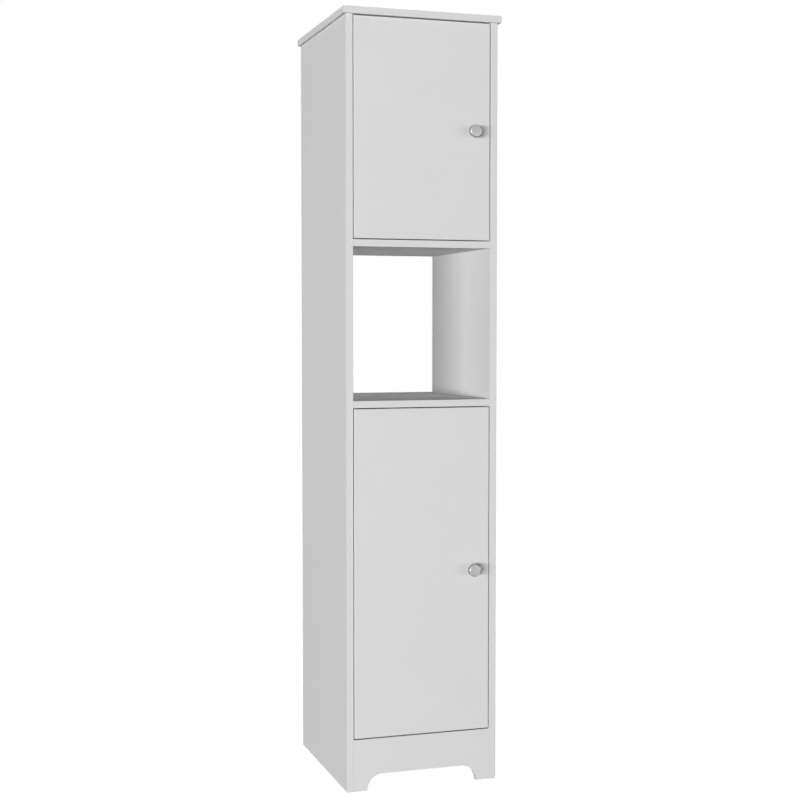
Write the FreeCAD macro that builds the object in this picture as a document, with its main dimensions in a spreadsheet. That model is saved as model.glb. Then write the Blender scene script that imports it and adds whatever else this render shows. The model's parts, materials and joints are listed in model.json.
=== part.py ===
import FreeCAD, Part
import math
import os
import re
import Sketcher

# Tall bathroom cabinet in white laminated board: a cupboard behind a short door at the top, an open
# niche, and a cupboard behind a tall door at the bottom, on two feet with a shaped apron between them.
# +X is to the right, +Y to the wall and +Z up. The origin is on the floor, under the middle of the box.
# "Left" and "right" are as seen by a person in front of the doors. All sizes are in millimetres.

SIZES = {
    # carcass
    "cabinet_width": 340,        # outside of the left side panel to outside of the right one
    "side_depth": 385,           # front edge to back edge of a side panel
    "side_height": 1650,         # floor to the underside of the top board
    "board": 15,                 # thickness of every carcass board and shelf
    "top_overhang": 7,           # how far the top board stands out in front and at each side
    "apron_height": 112,         # floor to the bottom of the lower cupboard
    "arch_height": 35,           # height of the cut-out between the feet, and radius of its corners
    "foot_width": 45,            # outside of a side panel to the cut-out
    "lower_opening": 712,        # clear height behind the tall door
    "niche_height": 327,         # clear height of the open niche
    "edge_round": 1,             # rounding of the top board's edges
    "back_board": 3,             # thickness of the back panels
    "back_inset": 1.5,           # back panel's edge to the outer face of the boards that it is nailed to
    # loose shelves
    "shelf_setback": 45,         # cabinet's front plane to a loose shelf's front edge
    "shelf_gap": 0.5,            # loose shelf to the boards beside it
    "lower_shelf_height": 230,   # floor of the lower cupboard to its first shelf
    "second_shelf_height": 468,  # floor of the lower cupboard to its second shelf
    "pin_diameter": 5,
    "pin_depth": 8,              # part of a shelf pin that sits in the panel
    "pin_reach": 7,              # part of a shelf pin under the shelf
    "pin_inset": 75,             # front and back edge of the side panel to the nearest row of pins
    "pin_pitch": 32,             # step between the holes of a row
    "pin_rows": 3,               # holes above each other at each shelf
    # doors
    "door_thickness": 15,
    "door_gap": 2,               # gap all round a door
    "door_round": 1.2,           # rounding of a door's front edges
    # knobs
    "knob_diameter": 27,
    "knob_reach": 24,            # door face to the front of the knob
    "knob_neck": 11,             # diameter of the stem
    "knob_foot": 15,             # diameter where the stem meets the door
    "knob_head": 10,             # thickness of the mushroom head
    "knob_edge": 40,             # opening edge of the door to the knob's axis
    "knob_base": 1.5,            # height of the foot's straight edge
    "knob_flare": 3,             # cone from the stem to the head
    "knob_rim": 1.5,             # chamfer at the back of the head
    "knob_front_round": 2.5,     # rounding at the front of the head
    "knob_screw": 4,             # thread of the knob screw
    "knob_screw_head": 8,
    "knob_screw_head_height": 2.4,
    "knob_screw_grip": 9,        # length of the screw inside the knob
    # magnetic catches
    "catch_width": 15,           # stands this far out of the side panel
    "catch_depth": 22,
    "catch_height": 46,
    "catch_round": 1.5,
    "catch_wall": 3,
    "catch_magnet": 20,          # height of the magnet
    "catch_magnet_depth": 8,
    "catch_gap": 0.3,            # closed strike plate to the catch
    "catch_screw_back": 8,       # back of the catch to its screws
    "catch_screw_step": 30,
    "catch_screw_bite": 9,       # length of a catch screw in the panel
    "strike_steel": 1.2,
    "strike_width": 9,
    "strike_height": 34,
    "strike_screw": 3,
    "strike_screw_length": 9,
    # hinges
    "hinge_inset": 80,           # door's end to the middle of the hinge
    "cup_diameter": 35,
    "cup_edge": 4,               # door's edge to the cup's bore
    "cup_skin": 3.5,             # board left in front of the cup
    "cup_steel": 0.8,
    "cup_screw_step": 48,
    "cup_screw_offset": 5.5,     # cup's middle to the line of its screws
    "cup_screw_length": 11,
    "flange_steel": 1.2,
    "rim_width": 1.8,
    "wing_width": 19,
    "wing_height": 62,
    "wing_round": 5,
    "pivot_face": 7,             # front of the door to the hinge pin
    "sweep_gap": 0.6,            # least gap between the door's front corner and the side panel
    "hinge_pin": 2.5,
    "hinge_knuckle": 4.4,
    "pin_end_gap": 1,
    "arm_steel": 2,
    "arm_width": 12,
    "arm_bend": 2.5,             # inner radius of the arm's bends
    "arm_end": 88,               # front plane to the back end of the arm
    "arm_rib": 1.4,
    "arm_rib_height": 3,
    "arm_screw": 5,
    "arm_screw_head": 8,
    "hinge_screw_head_height": 2.4,
    "arm_screw_bite": 3.5,       # length of an arm screw in the plate
    "arm_screw_end": 7,          # end of the arm to its last screw
    "arm_screw_step": 18,
    "neck_gap": 2.8,             # arm to the turning door and cup
    "plate_height": 5,
    "plate_steel": 2.5,
    "plate_setback": 37,         # inside of the door to the plate's screws
    "plate_wing": 16,
    "plate_span": 48,
    "plate_corner": 4,
    "plate_screw": 5,
    "plate_screw_step": 32,
    "plate_screw_head": 8.4,
    "plate_screw_bite": 9.5,     # length of a plate screw in the panel
    # cam and dowel joints
    "cam_diameter": 15,
    "cam_depth": 12,
    "cam_distance": 24,          # end of the board to the cam's centre
    "cam_inset": 50,             # front and back edge of the joint to the nearest cam
    "bolt_diameter": 5,
    "bolt_depth": 10.5,          # threaded length of a cam bolt
    "bolt_head": 6.6,
    "bolt_bore": 8,
    "dowel_diameter": 8,
    "dowel_length": 30,
    "dowel_depth": 10,           # part of a dowel in the board's face; the rest is in the end of the other
    "dowel_step": 32,            # step between the apron's fittings
    "fit_gap": 0.1,              # clearance of each thing that is pushed into a bore, on the diameter
    "screw_gap": 0.4,            # clearance of a screw or bolt in a bore that it only passes through
    "hole_spare": 0.5,           # how much deeper a blind hole is than what sits in it
    # nails and wood screws
    "nail_length": 18,
    "nail_diameter": 1.6,
    "nail_head": 4,
    "nail_head_height": 0.6,
    "nail_pitch": 200,           # about this far apart
    "wood_screw": 3.5,
    "wood_screw_head": 7,
    "wood_screw_head_height": 2.2,
    # wall bracket
    "bracket_leg": 40,
    "bracket_steel": 2,
    "bracket_width": 34,
    "bracket_screw_row": 26,     # back of the bracket to its screws
    "bracket_screw_step": 18,
    "bracket_screw_length": 14,
    "bracket_hole_drop": 24,     # underside of the top board to the wall screw's hole
    "wall_screw_hole": 6,
}

# Sizes that follow from the ones above, as formulas of them.
PLACES = {
    "front_plane": "(knob_reach - side_depth - back_board - nail_head_height) / 2",
    "back_edge": "front_plane + side_depth",
    "inner_width": "cabinet_width - 2 * board",
    "inner_half": "inner_width / 2",
    "lower_shelf_z": "apron_height + lower_opening",
    "niche_z": "lower_shelf_z + board",
    "upper_shelf_z": "niche_z + niche_height",
    "upper_floor": "upper_shelf_z + board",
    "upper_opening": "side_height - upper_floor",
    "door_width": "inner_width - 2 * door_gap",
    # The pin's place: the door's front corner clears the side panel by sweep_gap as it turns.
    "sweep": "door_gap - sweep_gap",
    "pivot_edge": "(pivot_face ^ 2 - sweep ^ 2) / (2 * sweep)",
    "pivot_x": "door_gap + pivot_edge",
    "pivot_cup": "cup_edge + cup_diameter / 2",
    "cup_depth": "door_thickness - cup_skin",
    # The arm's neck: behind the circle of the door's inner corner, and in front of the opened cup.
    "corner_reach": "sqrt(pivot_edge ^ 2 + (door_thickness - pivot_face) ^ 2)",
    "neck_x": "pivot_x + door_thickness + flange_steel - pivot_face + neck_gap",
    "neck_y": "pivot_face + corner_reach + neck_gap",
}

doc = FreeCAD.newDocument("TallBathroomCabinet")
sheet = doc.addObject("Spreadsheet::Sheet", "Sizes")
for row, (name, amount) in enumerate(SIZES.items(), start=1):
    sheet.set(f"A{row}", name)
    sheet.set(f"B{row}", str(amount))
    sheet.setAlias(f"B{row}", name)
doc.recompute()

NODES = {}    # file name of each physical piece, and the object that holds its shape


# ---- small helpers ---------------------------------------------------------------------------------

def formula(text):
    """Turn a formula of named sizes into an expression on the sheet's cells."""
    def cell(match):
        word = match.group()
        if word in PLACES:
            return "(" + formula(PLACES[word]) + ")"
        return "Sizes." + word if word in SIZES else word
    return re.sub(r"[a-z_][a-z0-9_]*", cell, str(text))


def number(text):
    """The present value of a formula of named sizes."""
    amount = sheet.evalExpression(formula(text))
    return float(getattr(amount, "Value", amount))


def new_body(name):
    body = doc.addObject("PartDesign::Body", name)
    body.Label = name
    return body


def set_place(item, x, y, z):
    for axis, text in zip("xyz", (x, y, z)):
        item.setExpression(".Placement.Base." + axis, formula(text))


def turned(x_goes_to, z_goes_to):
    """The rotation that points a piece's own X and Z axes along the given directions."""
    along_x = FreeCAD.Vector(*x_goes_to)
    along_z = FreeCAD.Vector(*z_goes_to)
    return FreeCAD.Rotation(along_x, along_z.cross(along_x), along_z, "ZXY")


# A sketch's plane, and which way along the body's own axis the plane's normal points.
PLANES = {"XY": ("XY_Plane", 1), "XZ": ("XZ_Plane", -1), "YZ": ("YZ_Plane", 1)}


def new_sketch(body, plane, level="0"):
    """A sketch on one of the body's own planes, moved to a level along the axis across it."""
    role, normal = PLANES[plane]
    sketch = body.newObject("Sketcher::SketchObject", body.Name + "_sketch")
    origin_plane = next(item for item in body.Origin.OriginFeatures if item.Role == role)
    sketch.AttachmentSupport = [(origin_plane, "")]
    sketch.MapMode = "FlatFace"
    sketch.setExpression(".AttachmentOffset.Base.z", formula(f"{normal} * ({level})"))
    return sketch


def fix_amount(sketch, kind, where, amount):
    index = sketch.addConstraint(Sketcher.Constraint(kind, *where, number(amount)))
    sketch.setExpression(f"Constraints[{index}]", formula(amount))


def fix_point(sketch, line, end, u, v):
    """Hold one point of a sketch at (u, v)."""
    if u == "0":
        sketch.addConstraint(Sketcher.Constraint("PointOnObject", line, end, -2))
    else:
        fix_amount(sketch, "DistanceX", (-1, 1, line, end), u)
    if v == "0":
        sketch.addConstraint(Sketcher.Constraint("PointOnObject", line, end, -1))
    else:
        fix_amount(sketch, "DistanceY", (-1, 1, line, end), v)


def point(u, v):
    return FreeCAD.Vector(number(u), number(v), 0)


def outline(sketch, corners):
    """A closed outline through corners (u, v). A corner (u, v, radius) is reached by an arc that
    turns left, and one with a radius that starts with a minus sign by an arc that turns right."""
    spots = [point(u, v) for u, v, *rest in corners]
    ends = []
    for index, (u, v, *radius) in enumerate(corners):
        start, stop = spots[index - 1], spots[index]
        if not radius:
            line = sketch.addGeometry(Part.LineSegment(start, stop), False)
            ends.append((line, 1, 2))
            continue
        left = not radius[0].startswith("-")
        size = number(radius[0].lstrip("-"))
        chord = stop - start
        across = FreeCAD.Vector(-chord.y, chord.x, 0).normalize() * (1 if left else -1)
        rise = math.sqrt(max(size ** 2 - (chord.Length / 2) ** 2, 0))
        centre = (start + stop) * 0.5 + across * rise
        first, last = (start, stop) if left else (stop, start)
        angles = [math.atan2(spot.y - centre.y, spot.x - centre.x) for spot in (first, last)]
        circle = Part.Circle(centre, FreeCAD.Vector(0, 0, 1), size)
        line = sketch.addGeometry(Part.ArcOfCircle(circle, *angles), False)
        ends.append((line, 1, 2) if left else (line, 2, 1))
        fix_amount(sketch, "Radius", (line,), radius[0].lstrip("-"))
    for index, (u, v, *radius) in enumerate(corners):
        line, _, end = ends[index]
        following, begin, _ = ends[(index + 1) % len(ends)]
        sketch.addConstraint(Sketcher.Constraint("Coincident", line, end, following, begin))
        fix_point(sketch, line, end, u, v)


def rectangle(sketch, low_u, low_v, high_u, high_v):
    outline(sketch, [(low_u, low_v), (high_u, low_v), (high_u, high_v), (low_u, high_v)])


def circles(sketch, centres, diameter):
    """Equal circles, the first one with the diameter and the others tied to it."""
    first = None
    for u, v in centres:
        circle = Part.Circle(point(u, v), FreeCAD.Vector(0, 0, 1), number(diameter) / 2)
        line = sketch.addGeometry(circle, False)
        fix_point(sketch, line, 3, u, v)
        if first is None:
            first = line
            fix_amount(sketch, "Diameter", (line,), diameter)
        else:
            sketch.addConstraint(Sketcher.Constraint("Equal", first, line))


def pad(body, sketch, plane, length, way=1, both_sides=False):
    """Raise a sketch along the axis across its plane, up (way 1) or down (way -1)."""
    feature = body.newObject("PartDesign::Pad", body.Name + "_pad")
    feature.Profile = sketch
    feature.setExpression("Length", formula(length))
    feature.Reversed = way != PLANES[plane][1]
    feature.Midplane = both_sides
    sketch.Visibility = False
    return feature


def pocket(body, sketch, plane, depth, way, both_sides=False):
    """Cut a sketch along the axis across its plane, up (way 1) or down (way -1)."""
    before = measured(body)
    feature = body.newObject("PartDesign::Pocket", body.Name + "_cut")
    feature.Profile = sketch
    feature.setExpression("Length", formula(depth))
    feature.Reversed = way == PLANES[plane][1]
    feature.Midplane = both_sides
    if measured(body) > before - 1e-6:
        raise ValueError(f"a cut in {body.Label} takes nothing away")
    return feature


def measured(body):
    doc.recompute()
    return body.Shape.Volume


def drill(body, plane, level, centres, diameter, depth, way):
    """Round holes from a face at a level, along the axis across the plane."""
    sketch = new_sketch(body, plane, level)
    circles(sketch, centres, diameter)
    return pocket(body, sketch, plane, depth, way)


def revolve(body, corners):
    """Turn an outline of (radius, height) corners round the body's own Z axis."""
    sketch = new_sketch(body, "XZ")
    outline(sketch, corners)
    feature = body.newObject("PartDesign::Revolution", body.Name + "_turned")
    feature.Profile = sketch
    feature.ReferenceAxis = (sketch, ["V_Axis"])
    feature.Angle = 360
    return feature


def round_edges(body, radius, wanted):
    """Round the edges of the body whose middle point passes the test."""
    doc.recompute()
    tip = body.Tip
    names = []
    for index, edge in enumerate(tip.Shape.Edges, start=1):
        if wanted(edge.valueAt((edge.FirstParameter + edge.LastParameter) / 2), edge):
            names.append(f"Edge{index}")
    feature = body.newObject("PartDesign::Fillet", body.Name + "_round")
    feature.Base = (tip, names)
    feature.setExpression("Radius", formula(radius))
    return feature


def keep(name, item):
    NODES[name] = item
    return item


def group(name, pieces):
    """One node of equal fasteners, each a separate solid: (shape, placement) pairs."""
    item = doc.addObject("Part::Feature", name)
    item.Label = name
    item.Shape = Part.makeCompound([shape.transformed(place.toMatrix()) for shape, place in pieces])
    return keep(name, item)


def placement(x, y, z, x_goes_to=(1, 0, 0), z_goes_to=(0, 0, 1)):
    """Where a copy of a fastener goes, and which way its own X and Z axes point."""
    return FreeCAD.Placement(FreeCAD.Vector(number(x), number(y), number(z)), turned(x_goes_to, z_goes_to))


# ---- carcass boards --------------------------------------------------------------------------------

def board(name, size_x, size_y, size_z, x, y, z):
    """A plain board, with its low front left corner at (x, y, z) and its own axes along the part's."""
    body = new_body(name)
    sketch = new_sketch(body, "XY")
    rectangle(sketch, "0", "0", size_x, size_y)
    pad(body, sketch, "XY", size_z)
    set_place(body, x, y, z)
    return keep(name, body)


BOLT_HOLE = "bolt_diameter + fit_gap"
BOLT_HOLE_DEPTH = "bolt_depth + hole_spare"
DOWEL_HOLE = "dowel_diameter + fit_gap"
FACE_DOWEL_DEPTH = "dowel_depth + hole_spare"
END_DOWEL_DEPTH = "dowel_length - dowel_depth + hole_spare"
CAM_HOLE = "cam_diameter + fit_gap"

# Distances of cams and dowels from the front plane, the same in every joint of the carcass: a dowel in
# the middle keeps the boards in line, and a cam to each side of it pulls them together.
CAM_ROWS = ["cam_inset", "side_depth - cam_inset"]
DOWEL_ROW = "side_depth / 2"

# Middle heights of the boards that stand between the side panels.
CROSS_BOARDS = {
    "bottom_board": "apron_height - board / 2",
    "lower_fixed_shelf": "lower_shelf_z + board / 2",
    "upper_fixed_shelf": "upper_shelf_z + board / 2",
}
APRON_CAM = "apron_height - dowel_step"
APRON_DOWEL = "apron_height - 2 * dowel_step"

# Under-face heights of the loose shelves, each with its own rows of pin holes.
LOOSE_SHELVES = {
    "upper_shelf": "upper_floor + (upper_opening - board) / 2",
    "lower_shelf": "apron_height + lower_shelf_height",
    "second_lower_shelf": "apron_height + second_shelf_height",
}
PIN_ROWS = ["pin_inset", "side_depth - pin_inset"]


def side_panel(name, x, inner_face, outward):
    """A side panel; inner_face is its own X there, and outward the way from it to the outside."""
    body = board(name, "board", "side_depth", "side_height", x, "front_plane", "0")
    bolts = [(row, height) for height in CROSS_BOARDS.values() for row in CAM_ROWS]
    bolts.append(("board / 2", APRON_CAM))
    drill(body, "YZ", inner_face, bolts, BOLT_HOLE, BOLT_HOLE_DEPTH, outward)
    dowels = [(DOWEL_ROW, height) for height in CROSS_BOARDS.values()]
    dowels.append(("board / 2", APRON_DOWEL))
    drill(body, "YZ", inner_face, dowels, DOWEL_HOLE, FACE_DOWEL_DEPTH, outward)
    top_cams = [(row, "side_height - cam_distance") for row in CAM_ROWS]
    drill(body, "YZ", inner_face, top_cams, CAM_HOLE, "cam_depth", outward)
    top_bolts = [("board / 2", row) for row in CAM_ROWS]
    drill(body, "XY", "side_height", top_bolts, "bolt_bore", "cam_distance", -1)
    drill(body, "XY", "side_height", [("board / 2", DOWEL_ROW)], DOWEL_HOLE, END_DOWEL_DEPTH, -1)
    for height in LOOSE_SHELVES.values():
        pin_holes(body, inner_face, f"{height} - pin_diameter / 2", outward)
    return body


def pin_holes(body, inner_face, middle, outward):
    """The front and back rows of holes for one loose shelf, with the used hole in the middle."""
    sketch = new_sketch(body, "YZ", inner_face)
    lowest = f"{middle} - pin_pitch * (pin_rows - 1) / 2"
    circles(sketch, [(row, lowest) for row in PIN_ROWS], "pin_diameter + fit_gap")
    holes = pocket(body, sketch, "YZ", "pin_depth + hole_spare", outward)
    pattern = body.newObject("PartDesign::LinearPattern", body.Name + "_pin_rows")
    pattern.Originals = [holes]
    pattern.Direction = (sketch, ["V_Axis"])
    pattern.setExpression("Length", formula("pin_pitch * (pin_rows - 1)"))
    pattern.setExpression("Occurrences", formula("pin_rows"))
    body.Tip = pattern


def cross_board(name, middle, front, cam_face):
    """A board between the side panels, from a distance behind the front plane to the back edge.
    cam_face is 1 where the cams are let into its top, and -1 where they are in its underside."""
    body = board(name, "inner_width", f"side_depth - ({front})", "board",
                 "-inner_half", f"front_plane + {front}", f"{middle} - board / 2")
    level = "board" if cam_face > 0 else "0"
    ends = ["cam_distance", "inner_width - cam_distance"]
    cams = [(end, f"{row} - ({front})") for end in ends for row in CAM_ROWS]
    drill(body, "XY", level, cams, CAM_HOLE, "cam_depth", -cam_face)
    for face, inward in (("0", 1), ("inner_width", -1)):
        bolts = [(f"{row} - ({front})", "board / 2") for row in CAM_ROWS]
        drill(body, "YZ", face, bolts, "bolt_bore", "cam_distance", inward)
        drill(body, "YZ", face, [(f"{DOWEL_ROW} - ({front})", "board / 2")], DOWEL_HOLE, END_DOWEL_DEPTH,
              inward)
    return body


left_panel = side_panel("left_side_panel", "-cabinet_width / 2", "board", -1)
side_panel("right_side_panel", "cabinet_width / 2 - board", "0", 1)
cross_board("upper_fixed_shelf", CROSS_BOARDS["upper_fixed_shelf"], "0", 1)
cross_board("lower_fixed_shelf", CROSS_BOARDS["lower_fixed_shelf"], "0", -1)
bottom = cross_board("bottom_board", CROSS_BOARDS["bottom_board"], "board", -1)
# The apron's dowels run into the front end of the bottom board.
APRON_DOWELS = ["dowel_step * 2", "inner_width - dowel_step * 2"]
drill(bottom, "XZ", "0", [(across, "board / 2") for across in APRON_DOWELS], DOWEL_HOLE, END_DOWEL_DEPTH, 1)


def top_board():
    body = board("top_board", "cabinet_width + 2 * top_overhang", "side_depth + back_board + top_overhang",
                 "board", "-cabinet_width / 2 - top_overhang", "front_plane - top_overhang", "side_height")
    round_edges(body, "edge_round", lambda middle, edge: middle.y < number("side_depth"))
    columns = ["top_overhang + board / 2", "top_overhang + cabinet_width - board / 2"]
    bolts = [(column, f"top_overhang + {row}") for column in columns for row in CAM_ROWS]
    drill(body, "XY", "0", bolts, BOLT_HOLE, BOLT_HOLE_DEPTH, 1)
    dowels = [(column, f"top_overhang + {DOWEL_ROW}") for column in columns]
    drill(body, "XY", "0", dowels, DOWEL_HOLE, FACE_DOWEL_DEPTH, 1)


def front_apron():
    """The board between the feet: quarter-round corners lead up to the straight edge of the arch."""
    body = new_body("front_apron")
    sketch = new_sketch(body, "XZ")
    foot = "(foot_width - board)"
    outline(sketch, [
        ("0", "0"),
        (foot, "0"),
        (f"{foot} + arch_height", "arch_height", "-arch_height"),
        (f"inner_width - {foot} - arch_height", "arch_height"),
        (f"inner_width - {foot}", "0", "-arch_height"),
        ("inner_width", "0"),
        ("inner_width", "apron_height"),
        ("0", "apron_height"),
    ])
    pad(body, sketch, "XZ", "board", 1)
    ends = ["cam_distance", "inner_width - cam_distance"]
    drill(body, "XZ", "board", [(end, APRON_CAM) for end in ends], CAM_HOLE, "cam_depth", -1)
    drill(body, "XZ", "board", [(across, "apron_height - board / 2") for across in APRON_DOWELS],
          DOWEL_HOLE, FACE_DOWEL_DEPTH, -1)
    for face, inward in (("0", 1), ("inner_width", -1)):
        drill(body, "YZ", face, [("board / 2", APRON_CAM)], "bolt_bore", "cam_distance", inward)
        drill(body, "YZ", face, [("board / 2", APRON_DOWEL)], DOWEL_HOLE, END_DOWEL_DEPTH, inward)
    set_place(body, "-inner_half", "front_plane", "0")
    keep("front_apron", body)


def back_panel(name, low, high):
    return board(name, "cabinet_width - 2 * back_inset", "back_board", f"{high} - ({low}) - 2 * back_inset",
                 "back_inset - cabinet_width / 2", "back_edge", f"{low} + back_inset")


BACK_PANELS = {
    "upper_back_panel": ("upper_shelf_z", "side_height"),
    "lower_back_panel": ("apron_height - board", "niche_z"),
}

top_board()
front_apron()
upper_back = back_panel("upper_back_panel", *BACK_PANELS["upper_back_panel"])
drill(upper_back, "XZ", "0", [("cabinet_width / 2 - back_inset",
                               "side_height - upper_shelf_z - back_inset - bracket_hole_drop")],
      "wall_screw_hole", "back_board", 1)
back_panel("lower_back_panel", *BACK_PANELS["lower_back_panel"])
for shelf, height in LOOSE_SHELVES.items():
    board(shelf, "inner_width - 2 * shelf_gap", "side_depth - shelf_setback - shelf_gap", "board",
          "shelf_gap - inner_half", "front_plane + shelf_setback", height)


# ---- joint fittings of the carcass -----------------------------------------------------------------

LEFT, RIGHT = (-1, 0, 0), (1, 0, 0)
FRONT, BACK = (0, -1, 0), (0, 1, 0)
DOWN, UP = (0, 0, -1), (0, 0, 1)
CAM_HEIGHT = "(cam_depth - fit_gap)"


def cam_shape():
    """A round cam with its face up, and a channel along +X for the bolt's head."""
    body = new_body("cam")
    sketch = new_sketch(body, "XY")
    circles(sketch, [("0", "0")], "cam_diameter")
    pad(body, sketch, "XY", CAM_HEIGHT)
    drill(body, "YZ", "-bolt_head / 2", [("0", f"{CAM_HEIGHT} - board / 2")],
          "bolt_bore - screw_gap", "cam_diameter", 1)
    return body.Shape


def bolt_shape():
    """A cam bolt: its thread is below z = 0 in the panel, and its head above at the cam's centre."""
    body = new_body("cam_bolt")
    head = "bolt_head / 4"
    revolve(body, [
        ("0", "-bolt_depth"),
        ("bolt_diameter / 2", "-bolt_depth"),
        ("bolt_diameter / 2", f"cam_distance - {head}"),
        ("bolt_head / 2", f"cam_distance - {head}"),
        ("bolt_head / 2", f"cam_distance + {head}"),
        ("0", f"cam_distance + {head}"),
    ])
    doc.recompute()
    return body.Shape


def rod(name, diameter, low, high):
    """A plain round rod along Z, from low to high."""
    body = new_body(name)
    sketch = new_sketch(body, "XY", low)
    circles(sketch, [("0", "0")], diameter)
    pad(body, sketch, "XY", f"{high} - ({low})")
    doc.recompute()
    return body.Shape


def carcass_fittings():
    """Bolts and dowels across every joint, and the cams that pull the bolts tight."""
    cam, bolt = cam_shape(), bolt_shape()
    dowel = rod("dowel", "dowel_diameter", "-dowel_depth", "dowel_length - dowel_depth")
    cams, bolts, dowels = [], [], []
    ends = (("-inner_half", RIGHT, LEFT, "cam_distance - inner_half"),
            ("inner_half", LEFT, RIGHT, "inner_half - cam_distance"))
    for name, height in CROSS_BOARDS.items():
        face = 1 if name == "upper_fixed_shelf" else -1
        cam_base = f"{height} + {face} * (board / 2 - {CAM_HEIGHT})"
        for joint, inward, outward, cam_x in ends:
            for row in CAM_ROWS:
                bolts.append((bolt, placement(joint, f"front_plane + {row}", height, UP, inward)))
                cams.append((cam, placement(cam_x, f"front_plane + {row}", cam_base, outward, (0, 0, face))))
            dowels.append((dowel, placement(joint, f"front_plane + {DOWEL_ROW}", height, UP, inward)))
    for joint, inward, outward, cam_x in ends:
        apron_y = "front_plane + board / 2"
        bolts.append((bolt, placement(joint, apron_y, APRON_CAM, UP, inward)))
        cams.append((cam, placement(cam_x, f"front_plane + board - {CAM_HEIGHT}", APRON_CAM, outward, BACK)))
        dowels.append((dowel, placement(joint, apron_y, APRON_DOWEL, UP, inward)))
        sign = outward[0]
        panel_x = f"{sign} * (inner_half + board / 2)"
        cam_face_x = f"{sign} * (inner_half + {CAM_HEIGHT})"
        for row in CAM_ROWS:
            bolts.append((bolt, placement(panel_x, f"front_plane + {row}", "side_height", RIGHT, DOWN)))
            cams.append((cam, placement(cam_face_x, f"front_plane + {row}", "side_height - cam_distance",
                                        UP, inward)))
        dowels.append((dowel, placement(panel_x, f"front_plane + {DOWEL_ROW}", "side_height", RIGHT, DOWN)))
    for across in APRON_DOWELS:
        dowels.append((dowel, placement(f"{across} - inner_half", "front_plane + board",
                                        CROSS_BOARDS["bottom_board"], RIGHT, BACK)))
    group("cam_locks", cams)
    group("cam_bolts", bolts)
    group("dowels", dowels)


def shelf_pins():
    """Plain pins, pushed into the middle hole of every row under a loose shelf."""
    pin = rod("shelf_pin", "pin_diameter", "-pin_depth", "pin_reach")
    pins = []
    for height in LOOSE_SHELVES.values():
        for row in PIN_ROWS:
            for panel, inward in (("-inner_half", RIGHT), ("inner_half", LEFT)):
                pins.append((pin, placement(panel, f"front_plane + {row}", f"{height} - pin_diameter / 2",
                                            UP, inward)))
    group("shelf_pins", pins)


def headed(name, head, head_height, shank, length):
    """The plain form of a screw or nail that points down, with its head on z = 0."""
    body = new_body(name)
    revolve(body, [
        ("0", f"-{length}"),
        (f"{shank} / 2", f"-{length}"),
        (f"{shank} / 2", "0"),
        (f"{head} / 2", "0"),
        (f"{head} / 2", head_height),
        ("0", head_height),
    ])
    doc.recompute()
    return body


def back_panel_nails():
    """Flat-headed nails round the back panels, into the panels and boards that they close."""
    nail = headed("nail", "nail_head", "nail_head_height", "nail_diameter", "nail_length").Shape
    nails = []
    outer_face = "back_edge + back_board"
    for low, high in BACK_PANELS.values():
        bottom_nails, top_nails = f"{low} + board / 2", f"{high} - board / 2"
        steps = round((number(top_nails) - number(bottom_nails)) / number("nail_pitch"))
        for index in range(steps + 1):
            height = f"{bottom_nails} + ({top_nails} - ({bottom_nails})) * {index} / {steps}"
            for panel in ("board / 2 - cabinet_width / 2", "cabinet_width / 2 - board / 2"):
                nails.append((nail, placement(panel, outer_face, height, RIGHT, BACK)))
    for height in CROSS_BOARDS.values():
        nails.append((nail, placement("0", outer_face, height, RIGHT, BACK)))
    group("back_panel_nails", nails)


def wall_bracket():
    """A steel angle under the top board, with a hole for the screw that ties the cabinet to the wall."""
    body = new_body("wall_bracket")
    sketch = new_sketch(body, "YZ")
    outline(sketch, [
        ("0", "0"),
        ("0", "-bracket_leg"),
        ("-bracket_steel", "-bracket_leg"),
        ("-bracket_steel", "-bracket_steel"),
        ("-bracket_leg", "-bracket_steel"),
        ("-bracket_leg", "0"),
    ])
    pad(body, sketch, "YZ", "bracket_width", 1, both_sides=True)
    drill(body, "XZ", "-bracket_steel", [("0", "-bracket_hole_drop")], "wall_screw_hole", "bracket_steel", 1)
    screws = [(f"{side} * bracket_screw_step / 2", "-bracket_screw_row") for side in (-1, 1)]
    drill(body, "XY", "-bracket_steel", screws, "wood_screw + screw_gap", "bracket_steel", 1)
    set_place(body, "0", "back_edge", "side_height")
    keep("wall_bracket", body)
    screw = headed("bracket_screw", "wood_screw_head", "wood_screw_head_height", "wood_screw",
                   "bracket_screw_length").Shape
    group("wall_bracket_screws", [
        (screw, placement(across, f"back_edge + {row}", "side_height - bracket_steel", RIGHT, DOWN))
        for across, row in screws])


carcass_fittings()
shelf_pins()
back_panel_nails()
wall_bracket()


# ---- doors, knobs and catches ----------------------------------------------------------------------

# Each door's opening in the front: its low edge and its clear height.
DOORS = {
    "upper_door": ("upper_floor", "upper_opening"),
    "lower_door": ("apron_height", "lower_opening"),
}
KNOB_ACROSS = "door_width - knob_edge"
CATCH_FACE = "front_plane + door_thickness + strike_steel + catch_gap"
CATCH_SCREWS = ["-catch_screw_step / 2", "catch_screw_step / 2"]


def hinge_heights(low, opening):
    """Heights of a door's two hinges."""
    return {"bottom": f"{low} + door_gap + hinge_inset", "top": f"{low} + {opening} - door_gap - hinge_inset"}


def middle_height(low, opening):
    return f"{low} + {opening} / 2"


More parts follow.
